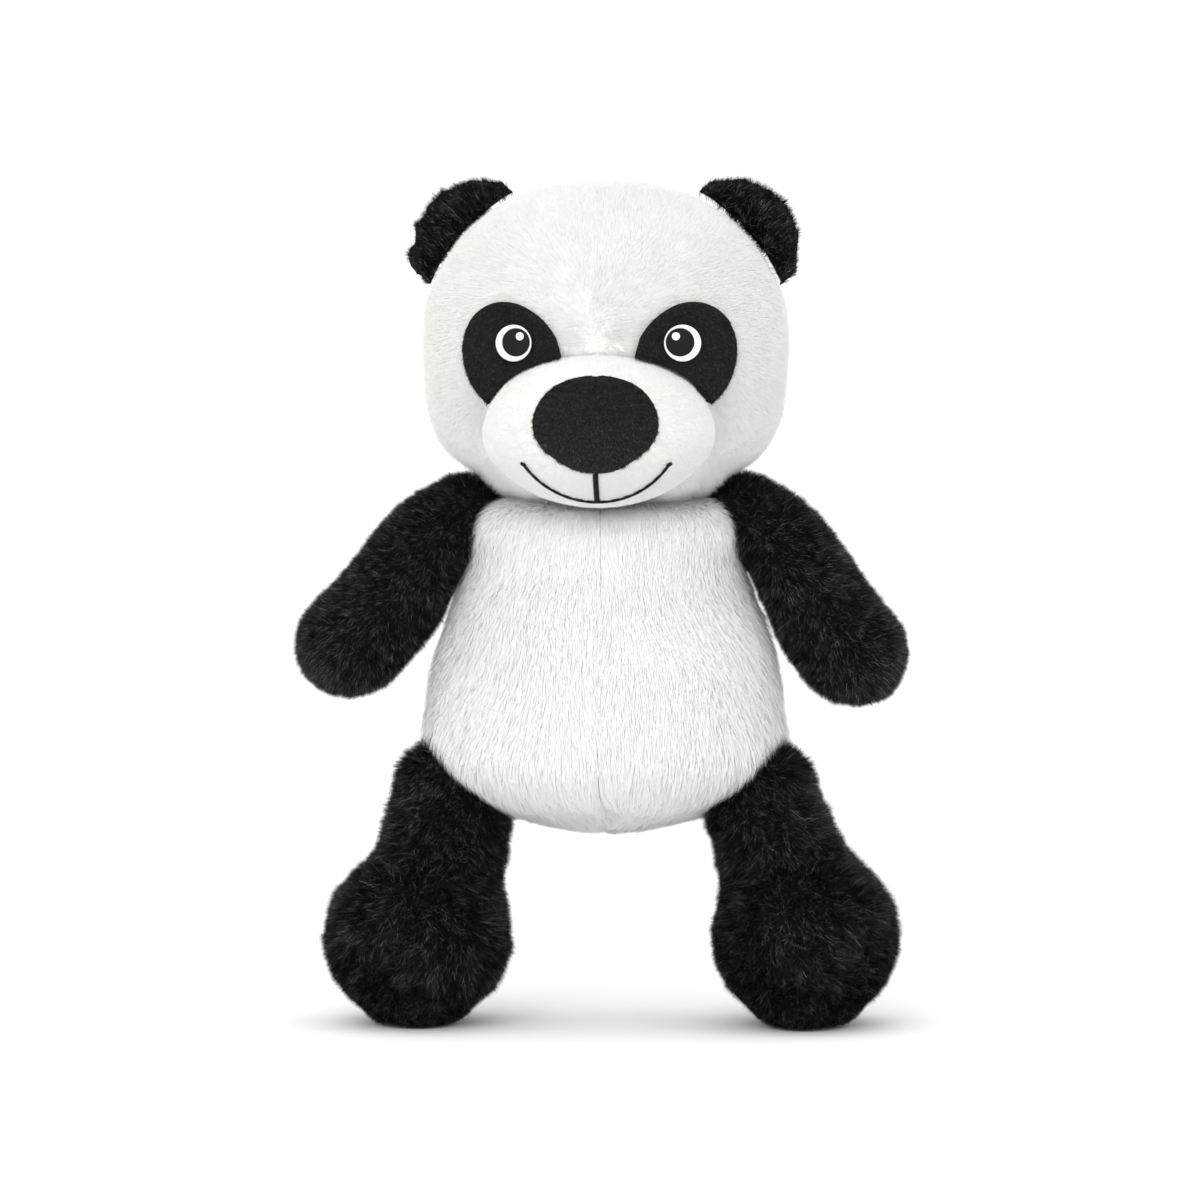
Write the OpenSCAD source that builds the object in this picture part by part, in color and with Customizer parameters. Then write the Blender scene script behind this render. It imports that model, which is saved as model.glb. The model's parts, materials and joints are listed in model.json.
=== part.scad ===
// Plush panda: fur fabric panels sewn over stuffing, with embroidered eyes, nose and mouth.
// Millimetres. +Z is up, the panda faces -Y, and its own left side is +X.
// It stands on two flattened soles at z = 0.

/* [Head] */
// Width across the cheeks
head_w = 133; // [120:1:140]
// Height and depth of the head, which is round about its side-to-side axis
head_h = 117; // [108:1:124]
// Height of the middle of the head above the soles
head_z = 243; // [240:1:246]
// How square the head's outline is, where 2 is an ellipse
head_power = 2.3; // [2:0.1:2.6]

/* [Muzzle] */
// Width of the muzzle
muzzle_w = 82; // [70:1:90]
// Height and depth of the muzzle
muzzle_h = 57; // [50:1:60]
// Height of the middle of the muzzle
muzzle_z = 211; // [209:1:214]
// Width of the nose patch
nose_w = 45; // [36:1:50]
// Height of the nose patch
nose_h = 34; // [28:1:38]

/* [Eyes] */
// Half the distance between the eyes
eye_x = 29.3; // [28:0.5:33]
// Height of the eyes
eye_z = 242.2; // [240:0.2:247]
// Outer diameter of the white embroidered ring
eye_ring_d = 13.4; // [11:0.2:15]
// Diameter of the embroidered pupil
pupil_d = 9.4; // [7:0.2:10]

/* [Ears] */
// Diameter of the disc that an ear is cut from
ear_d = 52; // [46:1:56]
// Height of an ear above the head's seam
ear_h = 14; // [11:0.5:17]
// Thickness of that disc at its middle
ear_t = 11; // [9:0.5:12]
// Angle of the ears above the horizontal, about the middle of the head
ear_angle = 38; // [34:1:42]

/* [Torso] */
// Width across the belly
torso_w = 133; // [120:1:140]
// Width just under the neck
chest_w = 90; // [84:1:94]
// Height of the neck opening
torso_top = 182; // [179:1:183]
// Height of the widest part of the belly
belly_z = 110; // [104:1:116]
// Height of the bottom of the torso
torso_bottom = 65; // [62:1:68]
// Depth of the belly in front of the side seams
belly_depth = 58; // [50:1:62]
// Depth of the back behind the side seams
back_depth = 48; // [42:1:54]

/* [Arms] */
// Distance from the shoulder to the tip of the paw
arm_l = 80; // [70:1:84]
// Thickness of the paw
paw_d = 41; // [36:0.5:43]
// Angle of the right arm out from straight down
right_arm_angle = 45; // [40:1:60]
// Angle of the left arm out from straight down
left_arm_angle = 41; // [38:1:60]

/* [Legs] */
// Half the distance between the middles of the feet
foot_x = 69; // [65:1:72]
// Width and height of a foot, before its sole is flattened
foot_d = 66; // [62:1:68]
// Length of a foot from heel to toe
foot_l = 78; // [72:1:84]

/* [Fabric] */
// Thickness of the fur fabric with its pile
fur_t = 6; // [4:0.5:7]
// Thickness of the short-pile muzzle fabric
velour_t = 3; // [2:0.5:4]
// Thickness of the eye patches
patch_t = 1.6; // [1:0.2:2.4]
// Height of the embroidery above its fabric
stitch_t = 0.8; // [0.5:0.1:1.2]
// Clearance between a shell and what it holds
gap = 0.3; // [0.2:0.1:0.5]

/* [Hidden] */
$fn = 64;
BIG = 400;                          // larger than the whole toy
LEFT = 1;                           // the panda's own left is +X
RIGHT = -1;

muzzle_y = -50;                     // middle of the muzzle, from the seam plane
front_axis = offset_axis(torso_w / 2, belly_depth);
back_axis = offset_axis(torso_w / 2, back_depth);

neck_z = 188;                       // centre of the neck
neck_r = 33;                        // radius of the neck stuffing
shoulder_x = 50;                    // shoulder and hip centres, from the middle of the toy
shoulder_z = 177;
shoulder_r = 13;
hip_x = 54;
hip_y = -8;                         // from the seam plane
hip_z = 81;
hip_r = 22;
foot_z = 29;                        // height of the middle of the foot, less than its radius
foot_y = -10;                       // middle of the foot, from the seam plane
foot_power = 2.3;                   // how square the foot's side outline is
thigh_r = 20;                       // radius of the leg where it leaves its round end
ankle_r = 25;
knot_r = 3;
knot_t = 1;
knot_room = 2.4;                    // spherical space that the knots turn in
socket_gap = 0.6;                   // around the neck in its sockets, and between an arm and the torso
leg_gap = 1.8;                      // between a thigh and the torso beside it, for the leg's swing
ear_fold = 30;                      // the base of the ear is cut to leave room for this fold
ear_seam = head_r(ear_angle) + 1.2; // from the middle of the head to the ear's fold line
ear_lean = 42;                      // the way an ear points, above the horizontal

// The origin is under the middle of the box that the paws, the nose and the back of the head reach.
body_x = (arm_out(RIGHT) - arm_out(LEFT)) / 2;
body_y = -(muzzle_y - muzzle_h / 2 - patch_t + head_h / 2) / 2;

// A half torso is part of a round body whose axis lies this far past the seam plane.
function offset_axis(half_w, depth) = (half_w * half_w / depth - depth) / 2;

// ---- outlines ----

// Points of a superellipse quarter, from [0, b] to [a, 0].
function quarter(a, b, power, steps) =
    [for (i = [0:steps]) let (t = 90 * i / steps) [a * pow(sin(t), 2 / power), b * pow(cos(t), 2 / power)]];

// Half outline of a superellipse with the half width a from its axis and the half length b.
function half_outline(a, b, power) =
    let (q = quarter(a, b, power, 9))
    concat(q, [for (i = [len(q) - 2:-1:0]) [q[i][0], -q[i][1]]]);

// Distance from the middle of the head to its outline, at the angle t above the horizontal.
function head_r(t) =
    let (x = abs(cos(t)) / (head_w / 2), z = abs(sin(t)) / (head_h / 2))
    1 / pow(pow(x, head_power) + pow(z, head_power), 1 / head_power);

// Half width of the torso at a share t of the way up from belly to neck opening.
function chest(t, belly, neck) = belly - (belly - neck) * pow(t, 1.45);

// Half width of the torso at height z.
function torso_width_at(z) = z <= belly_z
    ? torso_w / 2 * sqrt(1 - pow((belly_z - z) / (belly_z - torso_bottom), 2))
    : chest((z - belly_z) / (torso_top - belly_z), torso_w / 2, chest_w / 2);

// Points [half width, z] up the torso's side. The underside ends in a small flat.
function torso_side(inset) =
    let (flat = 5)
    let (belly = torso_w / 2 - inset, neck = chest_w / 2 - inset)
    let (low = torso_bottom + inset, top = torso_top - inset)
    concat(
        [for (i = [0:7]) let (t = flat + (90 - flat) * i / 8)
            [belly * sin(t), belly_z - (belly_z - low) * cos(t)]],
        [for (i = [0:8]) let (t = i / 8) [chest(t, belly, neck), belly_z + (top - belly_z) * t]]);

// ---- blank bodies, which panels and stuffing are cut from ----

module head_blank(inset) {
    translate([0, 0, head_z]) rotate([0, 90, 0])
        rotate_extrude() polygon(half_outline(head_h / 2 - inset, head_w / 2 - inset, head_power));
}

module muzzle_blank(inset) {
    translate([0, muzzle_y, muzzle_z])
        scale([(muzzle_w / 2 - inset) / (muzzle_h / 2 - inset), 1, 1]) sphere(r = muzzle_h / 2 - inset);
}

// A round body about a vertical axis beside the seam plane. Side -1 has the torso's front in it, 1 its back.
module torso_round(inset, side) {
    axis = side < 0 ? front_axis : back_axis;
    outline = [for (p = torso_side(inset)) [sqrt(p[0] * p[0] + axis * axis), p[1]]];
    low = outline[0][1];
    top = outline[len(outline) - 1][1];
    translate([0, -side * axis, 0]) rotate_extrude() polygon(concat([[0, low]], outline, [[0, top]]));
}

module torso_blank(inset) {
    intersection() { torso_round(inset, -1); torso_round(inset, 1); }
}

module arm_blank(side, inset) {
    paw = paw_d / 2 - inset;
    root = shoulder_r - inset;
    tip = arm_l - inset;
    middle = tip - paw;
    translate(shoulder(side))
        rotate([0, side * (180 - arm_angle(side)), 0]) rotate_extrude() union() {
            quarter_disc(root, -1);
            polygon(concat([[0, 0], [root, 0]],
                [for (i = [1:7]) let (t = i / 8) [root + (paw - root) * pow(sin(90 * t), 0.7), middle * t]],
                [[paw, middle], [0, middle]]));
            translate([0, middle]) quarter_disc(paw, 1);
        }
}

function shoulder(side) = [side * shoulder_x, 0, shoulder_z];
// How far out a paw reaches.
function arm_out(side) = shoulder_x + (arm_l - paw_d / 2) * sin(arm_angle(side)) + paw_d / 2;
function arm_angle(side) = side == LEFT ? left_arm_angle : right_arm_angle;

// A quarter of a disc against the axis, above (1) or below (-1) it.
module quarter_disc(r, up) {
    intersection() {
        circle(r = r);
        translate([0, up < 0 ? -r : 0]) square([r, r]);
    }
}

module leg_blank(side, inset) {
    ankle_at = leg_reach() - 8;
    difference() {
        union() {
            translate(foot_centre(side)) rotate([90, 0, 0])
                rotate_extrude() polygon(half_outline(foot_d / 2 - inset, foot_l / 2 - inset, foot_power));
            translate(hip(side)) rotate([leg_pitch(), 0, 0]) rotate([0, side * (180 - leg_splay()), 0])
                rotate_extrude() union() {
                    quarter_disc(hip_r - inset, -1);
                    polygon([[0, 0], [thigh_r - inset, 0], [ankle_r - inset, ankle_at], [0, leg_reach()]]);
                }
        }
        translate([-BIG / 2, -BIG / 2, inset - BIG]) cube(BIG);
    }
}

function hip(side) = [side * hip_x, hip_y, hip_z];
function foot_centre(side) = [side * foot_x, foot_y, foot_z];
function leg_splay() = atan((foot_x - hip_x) / (hip_z - foot_z));
function leg_pitch() = atan((foot_y - hip_y) / (hip_z - foot_z));
function leg_reach() = norm(foot_centre(1) - hip(1));

// ---- cutters ----

// Half spaces in front of, behind and beside a plane.
module front_space(y = 0) { translate([-BIG / 2, y - BIG, 0]) cube(BIG); }
module back_space(y = 0) { translate([-BIG / 2, y, 0]) cube(BIG); }
module side_space(side, x = 0) { translate([side > 0 ? x : x - BIG, -BIG / 2, 0]) cube(BIG); }

// What an arm clears as it swings: the torso's side, turned about the swing axis.
module torso_for_arm(side) {
    outline = [for (i = [0:8]) let (z = shoulder_z - (shoulder_z - belly_z) * i / 8)
        [shoulder_z - z, torso_width_at(z) + socket_gap]];
    difference() {
        translate([0, 0, shoulder_z]) rotate([0, side * 90, 0])
            rotate_extrude() polygon(concat([[0, 0]], outline, [[shoulder_z - belly_z, 0]]));
        translate(shoulder(side)) sphere(r = shoulder_r + knot_room - gap);
    }
}

// What a leg clears: the torso, except in the leg's own socket.
module torso_for_leg(side) {
    difference() {
        torso_blank(-leg_gap);
        translate(hip(side)) sphere(r = hip_r + knot_room - gap);
    }
}

module neck_space(more = 0) {
    translate([0, 0, neck_z]) sphere(r = neck_r + socket_gap + more);
}

// The round spaces in the torso for the neck and the limbs.
module sockets(more = 0) {
    neck_space(more);
    for (side = [LEFT, RIGHT]) {
        translate(shoulder(side)) sphere(r = shoulder_r + knot_room + more);
        translate(hip(side)) sphere(r = hip_r + knot_room + more);
    }
}

// ---- head ----

module head_shell() {
    difference() {
        head_blank(0);
        head_blank(fur_t);
        muzzle_blank(-gap);
        neck_space();
    }
}

module head_front_panel() {
    color("white") intersection() { head_shell(); front_space(-gap / 2); }
}

module head_back_panel(side) {
    color("white") intersection() { head_shell(); back_space(gap / 2); side_space(side, side * gap / 2); }
}

module head_stuffing() {
    color("ghostwhite") difference() {
        head_blank(fur_t + gap);
        neck_space();
    }
}

module muzzle_panel() {
    color("white") difference() {
        muzzle_blank(0);
        muzzle_blank(velour_t);
        head_blank(fur_t);
        neck_space();
    }
}

module muzzle_stuffing() {
    color("ghostwhite") difference() {
        muzzle_blank(velour_t + gap);
        head_blank(fur_t);
        neck_space();
    }
}

// A layer of thickness t over the muzzle, at a height above its fabric, cut to a flat outline.
module on_muzzle(t) {
    intersection() {
        difference() { muzzle_blank(-t); muzzle_blank(0); }
        translate([0, muzzle_y - 8, muzzle_z]) rotate([90, 0, 0]) linear_extrude(height = BIG) children();
    }
}

module nose_patch() {
    nose_lift = 3.2;
    color("black") on_muzzle(patch_t)
        translate([0, nose_lift]) scale([nose_w / nose_h, 1]) circle(d = nose_h, $fn = 160);
}

module mouth_thread() {
    smile_r = 30.4;
    smile_lift = 8;
    end_slope = 0.756;              // of the lines that end the smile, through its centre
    width = 0.9;
    color("black") on_muzzle(stitch_t) translate([0, smile_lift]) intersection() {
        difference() { circle(r = smile_r + width / 2); circle(r = smile_r - width / 2); }
        polygon([[0, 0], [-BIG, -BIG * end_slope], [-BIG, -BIG], [BIG, -BIG], [BIG, -BIG * end_slope]]);
    }
}

module philtrum_thread() {
    top = -13.8;
    bottom = -21.9;
    width = 1.6;
    color("black") on_muzzle(stitch_t) translate([-width / 2, bottom]) square([width, top - bottom]);
}

// A layer over the head between two heights above its fabric, cut to a flat outline centred on an eye.
module on_head(side, low, high) {
    intersection() {
        difference() { head_blank(-high); head_blank(-low); }
        translate([side * eye_x, 0, eye_z]) rotate([90, 0, 0]) linear_extrude(height = BIG) children();
    }
}

module eye_patch(side) {
    tilt = 26;
    width = 35;
    height = 43;
    color("black") difference() {
        on_head(side, 0, patch_t) translate([side * 1.3, -5.9]) rotate(-side * tilt)
            scale([width / height, 1]) circle(d = height);
        muzzle_blank(-gap);
    }
}

module eye_ring(side) {
    color("white") on_head(side, patch_t, patch_t + stitch_t)
        difference() { circle(d = eye_ring_d); circle(d = pupil_d + gap); }
}

module pupil(side) {
    color("black") on_head(side, patch_t, patch_t + stitch_t) difference() {
        circle(d = pupil_d);
        glint_outline(side, gap / 2);
    }
}

module eye_glint(side) {
    color("white") on_head(side, patch_t, patch_t + stitch_t) glint_outline(side, 0);
}

module glint_outline(side, grow) {
    translate([-side * 1.5, 2.1]) circle(r = 1.4 + grow);
}

// ---- ears ----

// One face of an ear. Its base clears the head while the ear folds either way.
module ear(side, face) {
    lens_r = (ear_d * ear_d + ear_t * ear_t) / 4 / ear_t;
    base_r = head_h / 2;
    color("black") mirror([side > 0 ? 0 : 1, 0, 0])
        translate([0, 0, head_z]) translate(ear_seam * [cos(ear_angle), 0, sin(ear_angle)])
            rotate([0, -ear_lean, 0]) difference() {
                intersection() {
                    translate([ear_h - ear_d / 2, lens_r - ear_t / 2, 0]) sphere(r = lens_r, $fn = 180);
                    translate([ear_h - ear_d / 2, ear_t / 2 - lens_r, 0]) sphere(r = lens_r, $fn = 180);
                    translate([-BIG / 2, face < 0 ? -BIG - gap / 2 : gap / 2, -BIG / 2]) cube(BIG);
                }
                rotate([0, 0, -face * ear_fold]) translate([-base_r, 0, 0]) sphere(r = base_r, $fn = 180);
            }
}

// ---- neck and torso ----

module neck_stuffing() {
    color("ghostwhite") translate([0, 0, neck_z]) sphere(r = neck_r);
}

module torso_panel(face, side) {
    color("white") difference() {
        intersection() {
            torso_round(0, face);
            side_space(side, side * gap / 2);
            if (face < 0) front_space(-gap / 2); else back_space(gap / 2);
        }
        torso_round(fur_t, face);
        sockets();
    }
}

module torso_stuffing() {
    color("ghostwhite") difference() {
        torso_blank(fur_t + gap);
        sockets(gap);
    }
}

module back_closing_stitches() {
    count = 7;
    pitch = 5;
    span = 5;
    low = 96;
    color("lightgray") for (i = [0:count - 1]) let (z = low + i * pitch)
        translate([-span / 2, norm([torso_width_at(z), back_axis]) - back_axis + 0.45, z])
            rotate([0, 90, 0]) cylinder(d = 0.7, h = span);
}

// ---- limbs ----

module arm_body(side, inset) {
    difference() {
        arm_blank(side, inset);
        torso_for_arm(side);
    }
}

module arm_panel(side, face) {
    color("black") intersection() {
        difference() { arm_body(side, 0); arm_blank(side, fur_t); }
        if (face < 0) front_space(-gap / 2); else back_space(gap / 2);
    }
}

module arm_stuffing(side) {
    color("ghostwhite") arm_body(side, fur_t + gap);
}

module leg_body(side, inset) {
    difference() {
        leg_blank(side, inset);
        torso_for_leg(side);
    }
}

// The plane through the leg's own line that parts its inner and outer panels.
module leg_half_space(side, out) {
    translate(hip(side)) rotate([0, side * (180 - leg_splay()), 0])
        translate([-side * out * gap / 2 - (side * out < 0 ? 0 : BIG), -BIG / 2, -BIG / 2]) cube(BIG);
}

module leg_panel(side, out) {
    color("black") intersection() {
        difference() { leg_body(side, 0); leg_blank(side, fur_t); }
        leg_half_space(side, out);
    }
}

module leg_stuffing(side) {
    color("ghostwhite") leg_body(side, fur_t + gap);
}

// A flat thread knot in the space between a limb's round end and its socket.
module knot(side, centre, r, turn) {
    color("gray") translate(centre) rotate([0, side * turn, 0])
        intersection() {
            difference() { sphere(r = r + 1.7); sphere(r = r + 1.7 - knot_t); }
            cylinder(r = knot_r, h = BIG);
        }
}

placed() head_front_panel();
placed() head_back_panel(LEFT);  // head_back_left_panel
placed() head_back_panel(RIGHT);  // head_back_right_panel
placed() head_stuffing();
placed() muzzle_panel();
placed() muzzle_stuffing();
placed() nose_patch();
placed() mouth_thread();
placed() philtrum_thread();
placed() eye_patch(LEFT);  // left_eye_patch
placed() eye_ring(LEFT);  // left_eye_ring
placed() pupil(LEFT);  // left_pupil
placed() eye_glint(LEFT);  // left_eye_glint
placed() eye_patch(RIGHT);  // right_eye_patch
placed() eye_ring(RIGHT);  // right_eye_ring
placed() pupil(RIGHT);  // right_pupil
placed() eye_glint(RIGHT);  // right_eye_glint
placed() ear(LEFT, -1);  // left_ear_front_panel
placed() ear(LEFT, 1);  // left_ear_back_panel
placed() ear(RIGHT, -1);  // right_ear_front_panel
placed() ear(RIGHT, 1);  // right_ear_back_panel
placed() neck_stuffing();
placed() torso_panel(-1, LEFT);  // torso_front_left_panel
placed() torso_panel(-1, RIGHT);  // torso_front_right_panel
placed() torso_panel(1, LEFT);  // torso_back_left_panel
placed() torso_panel(1, RIGHT);  // torso_back_right_panel
placed() torso_stuffing();
placed() back_closing_stitches();
placed() arm_panel(LEFT, -1);  // left_arm_front_panel
placed() arm_panel(LEFT, 1);  // left_arm_back_panel
placed() arm_stuffing(LEFT);  // left_arm_stuffing
placed() knot(LEFT, shoulder(LEFT), shoulder_r, -100);  // left_arm_knot
placed() arm_panel(RIGHT, -1);  // right_arm_front_panel
placed() arm_panel(RIGHT, 1);  // right_arm_back_panel
placed() arm_stuffing(RIGHT);  // right_arm_stuffing
placed() knot(RIGHT, shoulder(RIGHT), shoulder_r, -100);  // right_arm_knot
placed() leg_panel(LEFT, -1);  // left_leg_inner_panel
placed() leg_panel(LEFT, 1);  // left_leg_outer_panel
placed() leg_stuffing(LEFT);  // left_leg_stuffing
placed() knot(LEFT, hip(LEFT), hip_r, -45);  // left_leg_knot
placed() leg_panel(RIGHT, -1);  // right_leg_inner_panel
placed() leg_panel(RIGHT, 1);  // right_leg_outer_panel
placed() leg_stuffing(RIGHT);  // right_leg_stuffing
placed() knot(RIGHT, hip(RIGHT), hip_r, -45);  // right_leg_knot

// Moves the toy so that the origin is under the middle of its box.
module placed() { translate([body_x, body_y, 0]) children(); }
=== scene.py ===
"""Plush panda. Fabric skins are grown from the CAD solids, swollen by a cloth simulation between their
seams and covered in pile. The eyes and the smile are stitches, and the nose is a short-pile patch."""
from contextlib import contextmanager
import json
import math

import bmesh
import bpy
import numpy as np
from mathutils import Matrix, Vector
from mathutils.bvhtree import BVHTree

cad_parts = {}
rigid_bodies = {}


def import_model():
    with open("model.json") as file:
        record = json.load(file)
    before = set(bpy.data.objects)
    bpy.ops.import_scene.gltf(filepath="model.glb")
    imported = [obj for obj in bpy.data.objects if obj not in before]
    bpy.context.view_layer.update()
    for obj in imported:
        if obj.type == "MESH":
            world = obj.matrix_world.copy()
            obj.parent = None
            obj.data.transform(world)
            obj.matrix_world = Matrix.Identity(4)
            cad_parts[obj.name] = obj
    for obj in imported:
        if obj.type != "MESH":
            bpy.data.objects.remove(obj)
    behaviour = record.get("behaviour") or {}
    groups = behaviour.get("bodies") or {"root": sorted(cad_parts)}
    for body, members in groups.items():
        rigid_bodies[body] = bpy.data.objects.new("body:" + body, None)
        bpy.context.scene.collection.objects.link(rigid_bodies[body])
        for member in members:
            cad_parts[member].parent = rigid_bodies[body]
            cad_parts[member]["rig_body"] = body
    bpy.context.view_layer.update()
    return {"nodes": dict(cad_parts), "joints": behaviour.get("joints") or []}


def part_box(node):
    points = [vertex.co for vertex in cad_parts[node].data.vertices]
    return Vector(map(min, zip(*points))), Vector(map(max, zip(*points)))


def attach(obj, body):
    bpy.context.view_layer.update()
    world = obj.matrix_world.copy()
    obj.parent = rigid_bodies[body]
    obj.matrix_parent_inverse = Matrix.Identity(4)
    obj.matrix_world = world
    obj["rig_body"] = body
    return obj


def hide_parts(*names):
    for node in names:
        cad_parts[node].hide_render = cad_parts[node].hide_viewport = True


MM = 0.001
UP = np.array([0.0, 0.0, 1.0])
SIDES = (("left", 1), ("right", -1))

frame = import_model()
JOINTS = {joint["name"]: joint for joint in frame["joints"]}


def joint_at(name):
    """Where a joint is, in metres."""
    return np.array(JOINTS[name]["pos_m"])


def node_box(*names):
    """The lowest and highest corner of several CAD nodes together."""
    boxes = [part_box(name) for name in names]
    low = np.min([np.array(box[0]) for box in boxes], axis=0)
    high = np.max([np.array(box[1]) for box in boxes], axis=0)
    return low, high


NECK = joint_at("head_turn")
MIDDLE_X = NECK[0]
SEAM_Y = NECK[1]
HEAD_PANELS = ("head_front_panel", "head_back_left_panel", "head_back_right_panel")
HEAD_LOW, HEAD_HIGH = node_box(*HEAD_PANELS)
HEAD_CENTRE = np.array([MIDDLE_X, SEAM_Y, HEAD_HIGH[2] - (HEAD_HIGH[1] - SEAM_Y)])
HEAD_REACH = (HEAD_HIGH - HEAD_LOW) / 2
MUZZLE_LOW, MUZZLE_HIGH = node_box("muzzle_panel")
MUZZLE_MIDDLE_Z = (MUZZLE_LOW[2] + MUZZLE_HIGH[2]) / 2
NECK_LOW, NECK_HIGH = node_box("neck_stuffing")
NECK_CENTRE = (NECK_LOW + NECK_HIGH) / 2
NECK_RADIUS = (NECK_HIGH[0] - NECK_LOW[0]) / 2


# ---- random fields ----

def lattice_noise(points, size, seed):
    """Smooth noise from -1 to 1 with three channels, whose bumps are about size across."""
    cells = 32
    table = np.random.default_rng(seed).uniform(-1, 1, (cells, cells, cells, 3))
    scaled = points / size
    base = np.floor(scaled).astype(int)
    part = scaled - base
    part = part * part * (3 - 2 * part)
    total = np.zeros((len(points), 3))
    for corner in range(8):
        step = np.array([corner & 1, corner >> 1 & 1, corner >> 2 & 1])
        weight = np.prod(np.where(step, part, 1 - part), axis=1)
        index = (base + step) % cells
        total += weight[:, None] * table[index[:, 0], index[:, 1], index[:, 2]]
    return total


def unit(vectors):
    """Vectors scaled to length 1."""
    return vectors / np.maximum(np.linalg.norm(vectors, axis=-1, keepdims=True), 1e-9)


def smoothstep(low, high, value):
    """0 below low, 1 above high, and smooth between."""
    share = np.clip((value - low) / (high - low), 0, 1)
    return share * share * (3 - 2 * share)


# ---- materials ----

def shader(name):
    """A new node material, its node tree and its Principled shader."""
    material = bpy.data.materials.new(name)
    material.use_nodes = True
    tree = material.node_tree
    return material, tree, tree.nodes["Principled BSDF"]


def set_inputs(node, values):
    """Sets inputs of a node by their names. Returns the node."""
    for name, value in values.items():
        node.inputs[name].default_value = value
    return node


def mottled(name, dark, light, scale, detail, roughness, specular):
    """A matt material mottled from dark to light. Returns it, its tree, its places and its noise."""
    material, tree, principled = shader(name)
    place = tree.nodes.new("ShaderNodeTexCoord")
    noise = set_inputs(tree.nodes.new("ShaderNodeTexNoise"), {"Scale": scale, "Detail": detail})
    mix = tree.nodes.new("ShaderNodeMix")
    mix.data_type = "RGBA"
    set_inputs(mix, {"A": (*dark, 1), "B": (*light, 1)})
    tree.links.new(place.outputs["Object"], noise.inputs["Vector"])
    tree.links.new(noise.outputs["Fac"], mix.inputs["Factor"])
    tree.links.new(mix.outputs["Result"], principled.inputs["Base Color"])
    set_inputs(principled, {"Roughness": roughness, "Specular IOR Level": specular})
    return material, tree, place, noise


def add_bumps(tree, pattern, strength, depth):
    """Bumps that follow a pattern."""
    bump = set_inputs(tree.nodes.new("ShaderNodeBump"), {"Strength": strength, "Distance": depth})
    tree.links.new(pattern.outputs["Fac"], bump.inputs["Height"])
    tree.links.new(bump.outputs["Normal"], tree.nodes["Principled BSDF"].inputs["Normal"])


def knit(name, dark, light, rib=900, height=0.25):
    """The knitted backing of a fur fabric: rows of loops, mottled by the pile that stands in them."""
    material, tree, place, _ = mottled(name, dark, light, rib, 4.0, 0.9, 0.2)
    rows = tree.nodes.new("ShaderNodeTexWave")
    rows.wave_type = "BANDS"
    rows.bands_direction = "Z"
    set_inputs(rows, {"Scale": rib / 10, "Distortion": 2.0, "Detail": 2.0})
    tree.links.new(place.outputs["Object"], rows.inputs["Vector"])
    add_bumps(tree, rows, height, 0.4 * MM)
    return material


def thread(name, dark, light, roughness, specular):
    """Embroidery thread with painted shade: a little darker where its bumps sink in."""
    material, tree, _, noise = mottled(name, dark, light, 2600, 3.0, roughness, specular)
    add_bumps(tree, noise, 0.3, 0.1 * MM)
    return material


def fibre(name, colour, roughness, specular):
    """One shade of a pile's fibres. A pile mixes several shades from strand to strand."""
    material, _, principled = shader(name)
    set_inputs(principled, {"Base Color": (*colour, 1), "Roughness": roughness,
                            "Specular IOR Level": specular})
    return material


def shades(name, colours, roughness, specular):
    """The shades of one pile."""
    return [fibre(f"{name}_{i}", colour, roughness, specular) for i, colour in enumerate(colours)]


WHITE_KNIT = knit("white_knit", (0.86, 0.86, 0.84), (0.94, 0.94, 0.92))
BLACK_KNIT = knit("black_knit", (0.004, 0.004, 0.004), (0.014, 0.013, 0.014))
FILLING = knit("polyester_filling", (0.72, 0.72, 0.70), (0.84, 0.84, 0.82), rib=300, height=0.6)
# The threads' darker colours are painted shade, laid in the dips of their bumps.
WHITE_THREAD = thread("white_thread", (0.70, 0.72, 0.76), (0.88, 0.90, 0.93), 0.5, 0.4)
BLACK_THREAD = thread("black_thread", (0.003, 0.003, 0.003), (0.012, 0.012, 0.012), 0.7, 0.15)
GREY_THREAD = thread("sewing_thread", (0.55, 0.55, 0.52), (0.72, 0.72, 0.69), 0.5, 0.4)
# The head's white pile is a little darker, painted shade that tones down its well-lit top, and its lit copy
# for the torso is lighter, painted light that lifts the shade of the long pile.
WHITE_PILE = shades("white_pile", [(0.845, 0.845, 0.83), (0.825, 0.825, 0.805), (0.865, 0.865, 0.855),
                                   (0.80, 0.80, 0.78)], 0.8, 0.12)
# The black pile's last, grey shade is pale fibres and a painted sheen of glossy fibres.
BLACK_AND_SHEEN_PILE = shades("black_pile", [(0.003, 0.003, 0.003), (0.007, 0.007, 0.007), (0.022, 0.022, 0.022),
                                   (0.20, 0.20, 0.20)], 0.4, 0.3)
LIT_WHITE_PILE = shades("bright_white_pile", [(0.98, 0.98, 0.97), (0.97, 0.97, 0.955), (0.99, 0.99, 0.985),
                                                 (0.95, 0.95, 0.935)], 0.8, 0.1)
SHORT_BLACK = shades("short_black", [(0.006, 0.006, 0.006), (0.011, 0.011, 0.010),
                                     (0.022, 0.022, 0.020), (0.06, 0.06, 0.055)], 0.6, 0.2)


# ---- meshes ----

def new_object(name, mesh):
    """An object in the scene for a mesh."""
    obj = bpy.data.objects.new(name, mesh)
    bpy.context.scene.collection.objects.link(obj)
    return obj


def apply_modifiers(obj):
    """Makes what the modifiers show the object's own mesh."""
    depsgraph = bpy.context.evaluated_depsgraph_get()
    mesh = bpy.data.meshes.new_from_object(obj.evaluated_get(depsgraph))
    old = obj.data
    obj.modifiers.clear()
    obj.data = mesh
    bpy.data.meshes.remove(old)


def vectors_of(collection, attribute):
    """One vector of each item of a collection, as an array."""
    values = np.zeros(len(collection) * 3, np.float32)
    collection.foreach_get(attribute, values)
    return values.reshape(-1, 3).astype(float)


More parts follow.
